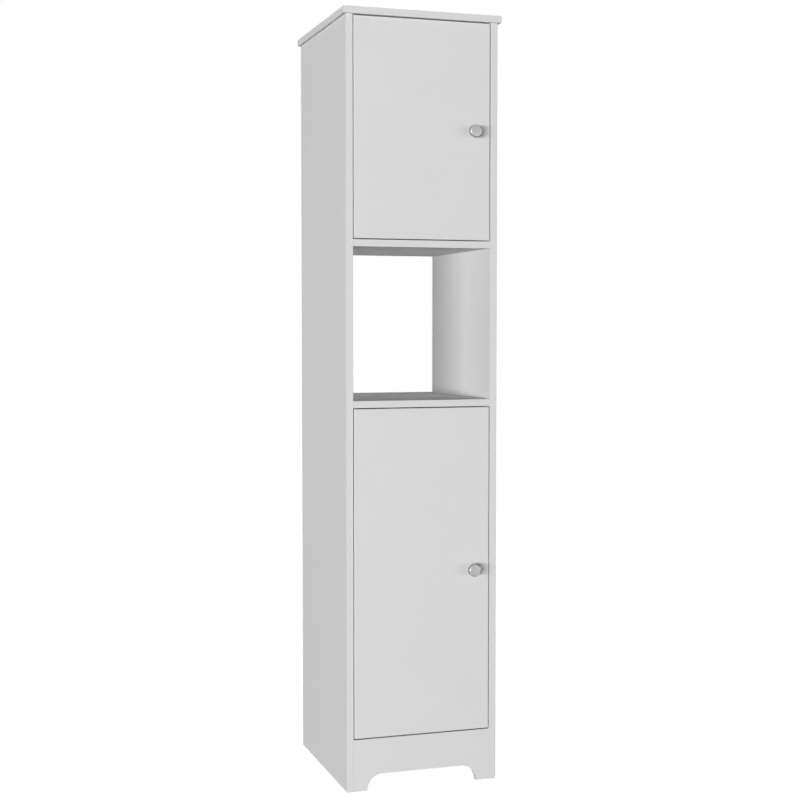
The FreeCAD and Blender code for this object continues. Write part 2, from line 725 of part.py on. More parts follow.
def door(name, low, opening):
    """A door set into its opening, flush with the carcass, with bores for two hinge cups and the knob."""
    height = f"{opening} - 2 * door_gap"
    body = new_body(name)
    sketch = new_sketch(body, "XZ")
    rectangle(sketch, "0", "0", "door_width", height)
    pad(body, sketch, "XZ", "door_thickness", 1)
    round_edges(body, "door_round", lambda middle, edge: abs(middle.y) < number("fit_gap"))
    cups = [("pivot_cup", end) for end in ("hinge_inset", f"{height} - hinge_inset")]
    drill(body, "XZ", "door_thickness", cups, "cup_diameter + fit_gap", "cup_depth", -1)
    drill(body, "XZ", "door_thickness", [(KNOB_ACROSS, f"({height}) / 2")], "knob_screw + screw_gap",
          "door_thickness", -1)
    set_place(body, "door_gap - inner_half", "front_plane", f"{low} + door_gap")
    return keep(name, body)


def knob(name, height):
    """A turned mushroom knob: foot, waisted stem and a flat-faced head with a rounded front."""
    body = new_body(name)
    foot, neck, head = "knob_foot / 2", "knob_neck / 2", "knob_diameter / 2"
    underside = "knob_reach - knob_head"
    revolve(body, [
        ("0", "0"),
        (foot, "0"),
        (foot, "knob_base"),
        (neck, f"knob_base + {foot} - {neck}"),
        (neck, f"{underside} - knob_flare"),
        (f"{neck} + knob_flare", underside),
        (f"{head} - knob_rim", underside),
        (head, f"{underside} + knob_rim"),
        (head, "knob_reach - knob_front_round"),
        (f"{head} - knob_front_round", "knob_reach", "knob_front_round"),
        ("0", "knob_reach"),
    ])
    drill(body, "XY", "0", [("0", "0")], "knob_screw + fit_gap", "knob_screw_grip + hole_spare", 1)
    body.Placement.Rotation = turned(RIGHT, FRONT)
    set_place(body, f"door_gap - inner_half + {KNOB_ACROSS}", "front_plane", height)
    keep(name, body)


def knob_screw(name, height):
    body = headed(name, "knob_screw_head", "knob_screw_head_height", "knob_screw",
                  "(door_thickness + knob_screw_grip)")
    body.Placement.Rotation = turned(RIGHT, BACK)
    set_place(body, f"door_gap - inner_half + {KNOB_ACROSS}", "front_plane + door_thickness", height)
    keep(name, body)


def catch(name, height):
    """The housing of a magnetic catch on the right side panel, open in front for its magnet."""
    body = new_body(name)
    sketch = new_sketch(body, "XY")
    rectangle(sketch, "0", "0", "catch_width", "catch_depth")
    pad(body, sketch, "XY", "catch_height", both_sides=True)
    round_edges(body, "catch_round", lambda middle, edge: middle.x < number("fit_gap"))
    sketch = new_sketch(body, "XZ")
    rectangle(sketch, "catch_wall", "-catch_magnet / 2", "catch_width - catch_wall", "catch_magnet / 2")
    pocket(body, sketch, "XZ", "catch_magnet_depth", 1)
    screws = [("catch_depth - catch_screw_back", end) for end in CATCH_SCREWS]
    drill(body, "YZ", "0", screws, "wood_screw + screw_gap", "catch_width", 1)
    set_place(body, "inner_half - catch_width", CATCH_FACE, height)
    return keep(name, body)


def catch_magnet(name, height):
    body = new_body(name)
    sketch = new_sketch(body, "XZ")
    across = "(catch_width / 2 - catch_wall - fit_gap)"
    rectangle(sketch, f"-{across}", "fit_gap - catch_magnet / 2", across, "catch_magnet / 2 - fit_gap")
    pad(body, sketch, "XZ", "catch_magnet_depth - fit_gap", 1)
    set_place(body, "inner_half - catch_width / 2", CATCH_FACE, height)
    keep(name, body)


def strike_plate(name, height):
    """The steel plate on the door that the magnet holds, with a countersunk screw in its middle."""
    body = new_body(name)
    sketch = new_sketch(body, "XZ")
    rectangle(sketch, "-strike_width / 2", "-strike_height / 2", "strike_width / 2", "strike_height / 2")
    pad(body, sketch, "XZ", "strike_steel", 1)
    drill(body, "XZ", "strike_steel", [("0", "0")], "strike_screw + screw_gap", "strike_steel", -1)
    set_place(body, "inner_half - catch_width / 2", "front_plane + door_thickness", height)
    keep(name, body)


def strike_screw(name, height):
    """A small flat-headed screw, let into the strike plate so that the plate meets the magnet flat."""
    body = new_body(name)
    sketch = new_sketch(body, "XY", "-strike_screw_length")
    circles(sketch, [("0", "0")], "strike_screw")
    pad(body, sketch, "XY", "strike_screw_length + strike_steel - fit_gap")
    body.Placement.Rotation = turned(RIGHT, BACK)
    set_place(body, "inner_half - catch_width / 2", "front_plane + door_thickness", height)
    keep(name, body)


def catch_screws():
    screw = headed("catch_screw", "wood_screw_head", "wood_screw_head_height", "wood_screw",
                   "(catch_width + catch_screw_bite)").Shape
    group("catch_screws", [
        (screw, placement("inner_half - catch_width", f"{CATCH_FACE} + catch_depth - catch_screw_back",
                          f"{middle_height(*opening)} + {end}", UP, LEFT))
        for opening in DOORS.values() for end in CATCH_SCREWS])


# ---- hinges ----------------------------------------------------------------------------------------
# A cup hinge with one pin. The pin crosses the cup near the door's edge, so the door's front corner
# just clears the side panel, and the arm reaches it as a gooseneck: from the plate on the panel, round
# behind the door's edge and back into the cup, so the cup can turn about its end by a right angle.

PIN_IN_CUP = "pivot_edge - pivot_cup"
CUP_SCREWS = ["-cup_screw_step / 2", "cup_screw_step / 2"]
ARM_SCREWS = ["arm_end - arm_screw_end - arm_screw_step", "arm_end - arm_screw_end"]
PLATE_SCREW_ROW = "door_thickness + plate_setback"
PLATE_SCREWS = ["-plate_screw_step / 2", "plate_screw_step / 2"]


def hinge_cup(name, height):
    """The pressed cup in the door; its own Z points into the cupboard, and z = 0 is the door's inside."""
    body = new_body(name)
    sketch = new_sketch(body, "XY", "fit_gap - cup_depth")
    circles(sketch, [("0", "0")], "cup_diameter")
    pad(body, sketch, "XY", "cup_depth - fit_gap + flange_steel / 2")
    for outline_of in (cup_rim, cup_wings):
        sketch = new_sketch(body, "XY")
        outline_of(sketch)
        pad(body, sketch, "XY", "flange_steel")
    drill(body, "XY", "flange_steel", [("0", "0")], "cup_diameter - 2 * cup_steel",
          "cup_depth - fit_gap - cup_steel + flange_steel", -1)
    drill(body, "XY", "flange_steel", [("cup_screw_offset", end) for end in CUP_SCREWS],
          "wood_screw + screw_gap", "flange_steel", -1)
    sketch = new_sketch(body, "XZ")
    circles(sketch, [(PIN_IN_CUP, "pivot_face - door_thickness")], "hinge_pin")
    pocket(body, sketch, "XZ", "2 * cup_diameter", 1, both_sides=True)
    body.Placement.Rotation = turned(RIGHT, BACK)
    set_place(body, "door_gap + pivot_cup - inner_half", "front_plane + door_thickness", height)
    keep(name, body)


def cup_rim(sketch):
    circles(sketch, [("0", "0")], "cup_diameter + 2 * rim_width")


def cup_wings(sketch):
    """The flange's wings: a plate with round corners, to one side of the cup's middle."""
    near, far = "(cup_screw_offset - wing_width / 2)", "(cup_screw_offset + wing_width / 2)"
    end = "(wing_height / 2)"
    outline(sketch, [
        (f"{near} + wing_round", f"-{end}", "wing_round"),
        (f"{far} - wing_round", f"-{end}"),
        (far, f"wing_round - {end}", "wing_round"),
        (far, f"{end} - wing_round"),
        (f"{far} - wing_round", end, "wing_round"),
        (f"{near} + wing_round", end),
        (near, f"{end} - wing_round", "wing_round"),
        (near, f"wing_round - {end}"),
    ])


def hinge_arm(name, height):
    """The gooseneck arm, bent from one strip; its own origin is on the side panel at the front plane."""
    body = new_body(name)
    sketch = new_sketch(body, "XY")
    low_y, high_y = "(pivot_face - arm_steel / 2)", "(pivot_face + arm_steel / 2)"
    right, back, top = "(neck_x + arm_steel)", "(neck_y + arm_steel)", "(plate_height + arm_steel)"
    outside = "arm_bend + arm_steel"
    outline(sketch, [
        ("pivot_x", low_y),
        (f"{right} - ({outside})", low_y),
        (right, f"{low_y} + {outside}", outside),
        (right, f"{back} - ({outside})"),
        (f"{right} - ({outside})", back, outside),
        (f"{top} + arm_bend", back),
        (top, f"{back} + arm_bend", "-arm_bend"),
        (top, "arm_end"),
        ("plate_height", "arm_end"),
        ("plate_height", f"neck_y + {outside}"),
        (f"plate_height + {outside}", "neck_y", outside),
        ("neck_x - arm_bend", "neck_y"),
        ("neck_x", "neck_y - arm_bend", "-arm_bend"),
        ("neck_x", f"{high_y} + arm_bend"),
        ("neck_x - arm_bend", high_y, "-arm_bend"),
        ("pivot_x", high_y),
    ])
    pad(body, sketch, "XY", "arm_width", both_sides=True)
    sketch = new_sketch(body, "XY")
    circles(sketch, [("pivot_x", "pivot_face")], "hinge_knuckle")
    pad(body, sketch, "XY", "arm_width", both_sides=True)
    for way in (1, -1):
        sketch = new_sketch(body, "YZ", top)
        edges = sorted([f"{way} * (arm_width / 2 - arm_rib)", f"{way} * arm_width / 2"], key=number)
        rectangle(sketch, f"{back} + {outside}", edges[0], "arm_end", edges[1])
        pad(body, sketch, "YZ", "arm_rib_height")
    sketch = new_sketch(body, "XY")
    circles(sketch, [("pivot_x", "pivot_face")], "hinge_pin + fit_gap")
    pocket(body, sketch, "XY", "2 * arm_width", 1, both_sides=True)
    drill(body, "YZ", top, [(row, "0") for row in ARM_SCREWS], "arm_screw + screw_gap", "arm_steel", -1)
    set_place(body, "-inner_half", "front_plane", height)
    keep(name, body)


def hinge_plate(name, height):
    """The cross-shaped mounting plate: a block that carries the arm, and two wings for its screws."""
    body = new_body(name)
    sketch = new_sketch(body, "YZ")
    rectangle(sketch, f"{PLATE_SCREW_ROW} - plate_wing / 2", "-plate_span / 2",
              f"{PLATE_SCREW_ROW} + plate_wing / 2", "plate_span / 2")
    pad(body, sketch, "YZ", "plate_steel")
    round_edges(body, "plate_corner", lambda middle, edge: abs(middle.z) > number("plate_span / 2 - fit_gap")
                and abs(edge.tangentAt(edge.FirstParameter).x) > math.cos(math.radians(1)))
    sketch = new_sketch(body, "YZ")
    rectangle(sketch, f"{PLATE_SCREW_ROW} - plate_wing / 2", "-arm_width / 2", "arm_end", "arm_width / 2")
    pad(body, sketch, "YZ", "plate_height")
    drill(body, "YZ", "plate_steel", [(PLATE_SCREW_ROW, end) for end in PLATE_SCREWS],
          "plate_screw + screw_gap", "plate_steel", -1)
    drill(body, "YZ", "plate_height", [(row, "0") for row in ARM_SCREWS], "arm_screw + fit_gap",
          "arm_screw_bite + hole_spare", -1)
    set_place(body, "-inner_half", "front_plane", height)
    keep(name, body)


def hinge_pin(door_name, heights):
    """The pins of one door's hinges, held in the walls of the cups."""
    end = "(cup_diameter / 2 - pin_end_gap)"
    pin = rod(door_name + "_hinge_pin", "hinge_pin", f"-{end}", end)
    group(door_name + "_hinge_pins", [
        (pin, placement("pivot_x - inner_half", "front_plane + pivot_face", height)) for height in heights])


def hinge_screws(door_name, heights):
    cup_screw = headed(door_name + "_cup_screw", "wood_screw_head", "wood_screw_head_height", "wood_screw",
                       "cup_screw_length").Shape
    group(door_name + "_cup_screws", [
        (cup_screw, placement("door_gap + pivot_cup + cup_screw_offset - inner_half",
                              "front_plane + door_thickness + flange_steel", f"{height} + {end}",
                              RIGHT, BACK))
        for height in heights for end in CUP_SCREWS])
    arm_screw = headed(door_name + "_arm_screw", "arm_screw_head", "hinge_screw_head_height", "arm_screw",
                       "(arm_steel + arm_screw_bite)").Shape
    group(door_name + "_hinge_arm_screws", [
        (arm_screw, placement("plate_height + arm_steel - inner_half", f"front_plane + {row}", height,
                              UP, RIGHT))
        for height in heights for row in ARM_SCREWS])
    plate_screw = headed(door_name + "_plate_screw", "plate_screw_head", "hinge_screw_head_height",
                         "plate_screw", "(plate_steel + plate_screw_bite)").Shape
    group(door_name + "_hinge_plate_screws", [
        (plate_screw, placement("plate_steel - inner_half", f"front_plane + {PLATE_SCREW_ROW}",
                                f"{height} + {end}", UP, RIGHT))
        for height in heights for end in PLATE_SCREWS])


plate_holes = [(PLATE_SCREW_ROW, f"{height} + {end}") for opening in DOORS.values()
               for height in hinge_heights(*opening).values() for end in PLATE_SCREWS]
drill(left_panel, "YZ", "board", plate_holes, "plate_screw + fit_gap", "plate_screw_bite + hole_spare", -1)
for door_name, opening in DOORS.items():
    door(door_name, *opening)
    middle = middle_height(*opening)
    knob(door_name + "_knob", middle)
    knob_screw(door_name + "_knob_screw", middle)
    catch(door_name + "_catch", middle)
    catch_magnet(door_name + "_magnet", middle)
    strike_plate(door_name + "_strike_plate", middle)
    strike_screw(door_name + "_strike_screw", middle)
    heights = hinge_heights(*opening)
    for end, height in heights.items():
        hinge_cup(f"{door_name}_{end}_hinge_cup", height)
        hinge_arm(f"{door_name}_{end}_hinge_arm", height)
        hinge_plate(f"{door_name}_{end}_hinge_plate", height)
    hinge_pin(door_name, heights.values())
    hinge_screws(door_name, heights.values())
catch_screws()


# ---- checks and files ------------------------------------------------------------------------------

doc.recompute()
for item in doc.Objects:
    if "Invalid" in item.State or "Error" in item.State:
        raise ValueError(f"{item.Label} did not build: {item.State}")
os.makedirs("parts", exist_ok=True)
for name, item in NODES.items():
    if item.Shape.isNull() or not item.Shape.isValid() or not item.Shape.Solids:
        raise ValueError(f"{name} has no valid solid")
    item.Shape.exportStep(f"parts/{name}.step")
print(f"{len(NODES)} nodes")
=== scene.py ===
import json
import math

import bmesh
import bpy
from mathutils import Matrix, Vector


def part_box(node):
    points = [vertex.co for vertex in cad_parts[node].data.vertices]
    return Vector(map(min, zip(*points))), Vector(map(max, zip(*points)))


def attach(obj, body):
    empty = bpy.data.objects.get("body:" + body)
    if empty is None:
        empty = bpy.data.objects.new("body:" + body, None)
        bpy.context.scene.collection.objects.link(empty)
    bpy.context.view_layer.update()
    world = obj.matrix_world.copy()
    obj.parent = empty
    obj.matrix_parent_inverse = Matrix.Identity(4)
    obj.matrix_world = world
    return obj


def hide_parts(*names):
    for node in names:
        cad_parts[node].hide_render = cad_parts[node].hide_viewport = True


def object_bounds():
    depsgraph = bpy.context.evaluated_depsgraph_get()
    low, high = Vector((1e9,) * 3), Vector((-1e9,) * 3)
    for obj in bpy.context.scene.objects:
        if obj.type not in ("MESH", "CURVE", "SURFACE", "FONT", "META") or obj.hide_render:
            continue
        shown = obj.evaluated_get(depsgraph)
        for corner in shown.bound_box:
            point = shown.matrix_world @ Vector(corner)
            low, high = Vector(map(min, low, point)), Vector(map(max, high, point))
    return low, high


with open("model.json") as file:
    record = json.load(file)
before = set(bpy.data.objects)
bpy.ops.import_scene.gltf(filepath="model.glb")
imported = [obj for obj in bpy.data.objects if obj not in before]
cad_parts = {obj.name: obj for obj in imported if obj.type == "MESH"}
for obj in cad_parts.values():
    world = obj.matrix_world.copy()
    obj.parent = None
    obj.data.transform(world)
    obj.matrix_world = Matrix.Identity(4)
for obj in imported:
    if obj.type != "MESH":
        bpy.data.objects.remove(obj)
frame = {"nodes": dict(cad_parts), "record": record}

# A tall bathroom cabinet in a plain white studio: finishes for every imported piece, turned knobs, pins,
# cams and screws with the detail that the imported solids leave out, the lights, the floor and the camera.
# All lengths are in metres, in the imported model's own frame.

RECORD = frame["record"]
NODES = frame["nodes"]
SLOTS = {part["node"]: part["material_slot"] for part in RECORD["subparts"]}
CAD_LOW, CAD_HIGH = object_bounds()

# Camera, fitted to the cabinet's edges in the photograph.
CAMERA_PLACE = (-1.0214, -3.1975, 0.9949)
CAMERA_YAW = 17.84        # degrees to the right of straight at the doors
CAMERA_PITCH = -2.80      # degrees above the horizontal
CAMERA_LENS = 66.74       # mm on the sensor below
CAMERA_SENSOR = 36.0

# Studio. A lamp has its azimuth in degrees to the left of straight at the doors, its distance, height and
# size in metres, and its power in watts.
FILL = 0.30               # light of the white walls round the studio, at the horizon
FILL_HEIGHT = 0.34        # sine of the elevation above and below which the walls give no more light
LAMPS = {
    "key": {"azimuth": 39.5, "distance": 12.0, "height": 0.75, "size": (10.0, 1.0), "power": 1600.0},
    "fill": {"azimuth": -40.0, "distance": 12.0, "height": 0.75, "size": (10.0, 1.0), "power": 240.0},
    "back_right": {"azimuth": -124.0, "distance": 12.0, "height": 1.00, "size": (6.0, 1.2), "power": 980.0},
    "back_left": {"azimuth": 130.0, "distance": 5.0, "height": 1.00, "size": (2.4, 0.8), "power": 27.0},
    "above": {"azimuth": 0.0, "distance": 0.0, "height": 3.20, "size": (0.5, 0.5), "power": 15.0},
}
FLOOR_GLOW = 0.97         # the floor's glow near the cabinet, for the camera and in reflections only
FLOOR_FADE = (0.5, 1.6)   # distances from the middle between which the glow grows to the background's 1
FLOOR_HALF = 30.0         # half of the floor's side
FLOOR_DROP = 0.0002       # floor below the feet, so that their faces don't coincide

# Colours, linear.
WHITE_FOIL = (0.690, 0.690, 0.690)
FOIL_SHINE = 0.05         # the foil is nearly matt, so the niche doesn't mirror the white behind it
EDGE_ROUND = 0.0012       # radius to which the boards' edges look rounded
CHIPBOARD_DARK = (0.300, 0.190, 0.095)
CHIPBOARD_LIGHT = (0.560, 0.400, 0.235)
HARDBOARD_BROWN = (0.200, 0.115, 0.060)
HARDBOARD_LIGHT = (0.300, 0.185, 0.105)
SATIN_NICKEL = (0.335, 0.333, 0.327)
BRIGHT_NICKEL = (0.640, 0.615, 0.575)
ZINC_PLATE = (0.560, 0.575, 0.590)
ZINC_CAST = (0.430, 0.440, 0.450)
BEECH_LIGHT = (0.620, 0.430, 0.255)
BEECH_DARK = (0.470, 0.290, 0.150)
WHITE_PLASTIC = (0.720, 0.720, 0.712)
FERRITE = (0.045, 0.045, 0.048)
FLOOR_GREY = (0.200, 0.200, 0.200)      # without its glow; dark, so that little light comes back up

# Grain of the finishes.
FOIL_MOTTLE = 0.11        # size of the foil's broad, faint clouds
FOIL_PEARL = 0.0016       # size of its fine pearl
CHIP_RATE = 420.0         # chips in a metre of particle board
HOLE_SKIN = 0.0004        # what lies deeper than this under a board's faces is the wall of a hole
FACING_SHARE = 0.9        # a face looks along an axis when its normal's share of it is over this
SCREEN_RATE = 3100.0      # radians in a metre of the hardboard's screen pattern
LATHE_RATE = 5200.0       # about this many rings in a metre of the knob's radius

# Turned knob, from the door outwards.
KNOB_FOOT = 0.0075        # radius where it meets the door
KNOB_NECK = 0.0055
KNOB_BASE = 0.0015        # height of the foot's straight edge
KNOB_HEAD = 0.0100        # thickness of the head
KNOB_COVE = 0.0030        # hollow curve from the neck to the head
KNOB_BACK_ROUND = 0.0020
KNOB_FRONT_ROUND = 0.0025
KNOB_SEGMENTS = 96

# Fittings.
FITTING_SEGMENTS = 48
SHARP_ANGLE = 35.0        # degrees between two faces from which the edge between them stays sharp
WELD_DISTANCE = 1e-6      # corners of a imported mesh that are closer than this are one
CAM_CROSS = (0.0016, 0.0045, 0.0020)      # width of an arm, reach of an arm, depth
CAM_CHAMFER = 0.0003
CAM_RINGS = 16            # rings of a cam's face, which the cross is let into
PIN_CHAMFER = 0.0006
RECESS_WIDTH = 0.22       # width of a recess's arms, of the screw head's diameter
RECESS_REACH = 0.50       # reach of its arms, of the head's radius
RECESS_DEPTH = 0.55       # of the head's height
RECESS_RISE = 0.4         # share of its depth that is gone at the ends of its arms
DOME_START = 0.45         # share of a screw head's height under its dome
DOME_RINGS = 16
HEAD_UNDERSIDE = 0.97     # radius of a head where it meets its seat, of its full radius
HEAD_CHAMFER = 0.1        # height of the chamfer there, of the head's height
SCREW_POINT = 0.3         # radius of a screw's blunt point, of its shank's
RIM_SHARE = 0.98          # a packed corner further out than this, of the head's radius, is on its rim
AXIS_RADIUS = 1e-5        # a packed corner closer to the axis than this is on it

LEFT, RIGHT = Vector((-1, 0, 0)), Vector((1, 0, 0))
FRONT, BACK = Vector((0, -1, 0)), Vector((0, 1, 0))
DOWN = Vector((0, 0, -1))
DOORS = ("upper_door", "lower_door")


# ---- shader helpers ---------------------------------------------------------------------------------

class Finish:
    """A material, or the world's shader, and the few shorthands that its node tree is written with."""

    def __init__(self, name, tree=None):
        if tree is None:
            self.material = bpy.data.materials.new(name)
            self.material.use_nodes = True
        self.tree = tree or self.material.node_tree
        self.tree.nodes.clear()
        self.output = self.tree.nodes.new("ShaderNodeOutputWorld" if tree else "ShaderNodeOutputMaterial")

    def node(self, kind, inputs=None, **settings):
        made = self.tree.nodes.new("ShaderNode" + kind)
        for name, value in settings.items():
            setattr(made, name, value)
        for name, value in (inputs or {}).items():
            self.feed(made.inputs[name], value)
        return made

    def feed(self, socket, value):
        if isinstance(value, bpy.types.NodeSocket):
            self.tree.links.new(value, socket)
        elif socket.type == "RGBA":
            socket.default_value = (*value, 1.0)
        else:
            socket.default_value = value

    def math(self, operation, first, second=0.0):
        return self.node("Math", {0: first, 1: second}, operation=operation).outputs[0]

    def coordinates(self, scale=(1.0, 1.0, 1.0)):
        """The piece's own coordinates, so that a texture stays on the piece as it moves."""
        own = self.node("TexCoord").outputs["Object"]
        return self.node("Mapping", {"Vector": own, "Scale": scale}).outputs[0]

    def noise(self, size, detail=2.0, scale=(1.0, 1.0, 1.0), roughness=0.5):
        """Noise whose lumps are about this size in metres."""
        return self.node("TexNoise", {"Vector": self.coordinates(scale), "Scale": 1.0 / size,
                                      "Detail": detail, "Roughness": roughness}).outputs["Fac"]

    def between(self, amount, low, high, from_low=0.3, from_high=0.7):
        """Map the middle of a noise's range to a range of numbers."""
        return self.node("MapRange", {"Value": amount, "From Min": from_low, "From Max": from_high,
                                      "To Min": low, "To Max": high}).outputs[0]

    def blend(self, amount, first, second):
        """A colour between two colours or colour sockets."""
        mix = self.node("Mix", data_type="RGBA")
        self.feed(mix.inputs["Factor"], amount)
        self.feed(mix.inputs[6], first)
        self.feed(mix.inputs[7], second)
        return mix.outputs[2]

    def bump(self, height, distance, edge=0.0):
        """Raised detail, over edges that are softened by a radius."""
        inputs = {"Height": height, "Distance": distance, "Strength": 1.0}
        if edge:
            inputs["Normal"] = self.node("Bevel", {"Radius": edge}, samples=6).outputs[0]
        return self.node("Bump", inputs).outputs[0]

    def principled(self, **inputs):
        named = {key.replace("_", " "): value for key, value in inputs.items()}
        shader = self.node("BsdfPrincipled", named)
        self.tree.links.new(shader.outputs[0], self.output.inputs["Surface"])
        return self.material


def tone(colour, factor):
    return tuple(channel * factor for channel in colour)


# ---- finishes ---------------------------------------------------------------------------------------

def inside_box(finish, low, high, depth):
    """1 where a point lies deeper than depth under every face of a box, as the wall of a drilled hole."""
    own = finish.node("SeparateXYZ", {0: finish.coordinates()}).outputs
    inside = None
    for axis in range(3):
        for limit, sign in ((low[axis] + depth, 1.0), (high[axis] - depth, -1.0)):
            past = finish.math("GREATER_THAN", finish.math("MULTIPLY", own[axis], sign), limit * sign)
            inside = past if inside is None else finish.math("MULTIPLY", inside, past)
    return inside


def facing(finish, axis, sign):
    """1 on faces that look along the piece's own axis."""
    normal = finish.node("TexCoord").outputs["Normal"]
    along = finish.node("SeparateXYZ", {0: normal}).outputs[axis]
    return finish.math("GREATER_THAN", finish.math("MULTIPLY", along, sign), FACING_SHARE)


def laminated_board(node, raw_faces=(), drilled=True):
    """White foil on particle board, with a faint pearl. The raw core shows on cut faces and in holes."""
    finish = Finish(node + "_foil")
    mottle = finish.noise(FOIL_MOTTLE, detail=3.0)
    pearl = finish.noise(FOIL_PEARL, detail=1.0)
    foil = finish.blend(finish.between(mottle, 0.0, 1.0), tone(WHITE_FOIL, 0.993), tone(WHITE_FOIL, 1.006))
    foil_roughness = finish.between(finish.noise(0.004), 0.50, 0.60)
    chips = finish.node("TexVoronoi", {"Vector": finish.coordinates((1.0, 1.0, 1.6)), "Scale": CHIP_RATE,
                                       "Randomness": 1.0})
    grit = finish.noise(0.0012, detail=4.0)
    chip_shade = finish.math("MULTIPLY", finish.math("ADD", chips.outputs["Distance"], grit), 0.62)
    core = finish.blend(chip_shade, CHIPBOARD_DARK, CHIPBOARD_LIGHT)
    low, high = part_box(node)
    raw = inside_box(finish, low, high, HOLE_SKIN) if drilled else None
    for axis, sign in raw_faces:
        face = facing(finish, axis, sign)
        raw = face if raw is None else finish.math("MAXIMUM", raw, face)
    colour, roughness = foil, foil_roughness
    height = finish.math("MULTIPLY", pearl, 0.10)
    if raw is not None:
        colour = finish.blend(raw, foil, core)
        rougher = finish.math("MULTIPLY", raw, 0.42)
        roughness = finish.math("ADD", foil_roughness, rougher)
        height = finish.math("ADD", height, finish.math("MULTIPLY", raw, chip_shade))
    return finish.principled(Base_Color=colour, Roughness=roughness, Specular_IOR_Level=FOIL_SHINE,
                             Normal=finish.bump(height, 0.0002, edge=EDGE_ROUND))


def hardboard(node):
    """White lacquer inside, and the bare brown fibre with its screen pattern on the wall's side."""
    finish = Finish(node + "_board")
    outside = facing(finish, 1, 1.0)
    fibre = finish.noise(0.0030, detail=5.0, scale=(1.0, 1.0, 3.0), roughness=0.7)
    brown = finish.blend(finish.between(fibre, 0.0, 1.0), HARDBOARD_BROWN, HARDBOARD_LIGHT)
    white = finish.blend(finish.between(finish.noise(0.09), 0.0, 1.0), tone(WHITE_FOIL, 0.97), WHITE_FOIL)
    own = finish.node("SeparateXYZ", {0: finish.coordinates()}).outputs
    screen = finish.math("MULTIPLY", finish.math("SINE", finish.math("MULTIPLY", own[0], SCREEN_RATE)),
                         finish.math("SINE", finish.math("MULTIPLY", own[2], SCREEN_RATE)))
    rough_side = finish.math("MULTIPLY", outside, finish.math("ADD", fibre, screen))
    height = finish.math("ADD", finish.math("MULTIPLY", finish.noise(0.002), 0.1), rough_side)
    roughness = finish.math("ADD", finish.math("MULTIPLY", outside, 0.35), 0.5)
    return finish.principled(Base_Color=finish.blend(outside, white, brown), Roughness=roughness,
                             Specular_IOR_Level=FOIL_SHINE, Normal=finish.bump(height, 0.00012))


def turned_metal(node):
    """Satin nickel on a turned knob, with the fine rings that the lathe leaves round its axis."""
    finish = Finish(node + "_satin")
    low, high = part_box(node)
    centre = (low + high) / 2
    from_axis = finish.node("VectorMath", {0: finish.coordinates(), 1: centre}, operation="SUBTRACT")
    flat = finish.node("VectorMath", {0: from_axis.outputs[0], 1: (1.0, 0.0, 1.0)}, operation="MULTIPLY")
    radius = finish.node("VectorMath", {0: flat.outputs[0]}, operation="LENGTH").outputs["Value"]
    rings = finish.node("TexNoise", {"W": radius, "Scale": LATHE_RATE, "Detail": 3.0},
                        noise_dimensions="1D").outputs["Fac"]
    haze = finish.noise(0.006, detail=3.0)
    colour = finish.blend(finish.between(haze, 0.0, 1.0),
                          tone(SATIN_NICKEL, 0.94), tone(SATIN_NICKEL, 1.05))
    return finish.principled(Base_Color=colour, Metallic=1.0, Roughness=finish.between(rings, 0.36, 0.50),
                             Normal=finish.bump(rings, 0.000012))


def pressed_metal(node, colour, grain=0.0009, roughness=(0.22, 0.36)):
    """Plated sheet steel: a soft rolled grain and small clouds in its shine."""
    finish = Finish(node + "_plated")
    clouds = finish.noise(0.007, detail=3.0)
    rolled = finish.noise(grain, detail=2.0, scale=(1.0, 0.12, 1.0))
    shade = finish.blend(finish.between(clouds, 0.0, 1.0), tone(colour, 0.90), tone(colour, 1.08))
    shine = finish.math("ADD", finish.between(clouds, roughness[0], roughness[1]),
                        finish.between(rolled, -0.03, 0.03))
    return finish.principled(Base_Color=shade, Metallic=1.0, Roughness=shine,
                             Normal=finish.bump(rolled, 0.000012))


def cast_metal(node):
    """Die-cast zinc: grey, with the fine rough skin of the mould."""
    finish = Finish(node + "_cast")
    skin = finish.noise(0.0006, detail=4.0)
    shade = finish.blend(finish.between(finish.noise(0.004), 0.0, 1.0), tone(ZINC_CAST, 0.88), ZINC_CAST)
    return finish.principled(Base_Color=shade, Metallic=1.0, Roughness=finish.between(skin, 0.42, 0.58),
                             Normal=finish.bump(skin, 0.00003))


def beech(node):
    """Bare beech with its grain along the dowels, which lie across the cabinet."""
    finish = Finish(node + "_beech")
    grain = finish.noise(0.0011, detail=4.0, scale=(0.08, 1.0, 1.0), roughness=0.6)
    colour = finish.blend(finish.between(grain, 0.0, 1.0), BEECH_DARK, BEECH_LIGHT)
    return finish.principled(Base_Color=colour, Roughness=finish.between(grain, 0.6, 0.75),
                             Normal=finish.bump(grain, 0.00006))


def moulded_plastic(node):
    """Satin white plastic with the faint spark of its mould."""
    finish = Finish(node + "_plastic")
    spark = finish.noise(0.0008, detail=2.0)
    colour = finish.blend(finish.between(finish.noise(0.02), 0.0, 1.0),
                          tone(WHITE_PLASTIC, 0.97), WHITE_PLASTIC)
    return finish.principled(Base_Color=colour, Roughness=finish.between(spark, 0.42, 0.52),
                             Normal=finish.bump(spark, 0.00002))


def ferrite(node):
    """The magnet's dark sintered ferrite."""
    finish = Finish(node + "_ferrite")
    grit = finish.noise(0.0007, detail=4.0)
    colour = finish.blend(finish.between(grit, 0.0, 1.0), tone(FERRITE, 0.7), FERRITE)
    return finish.principled(Base_Color=colour, Roughness=finish.between(grit, 0.55, 0.75),
                             Normal=finish.bump(grit, 0.00003))


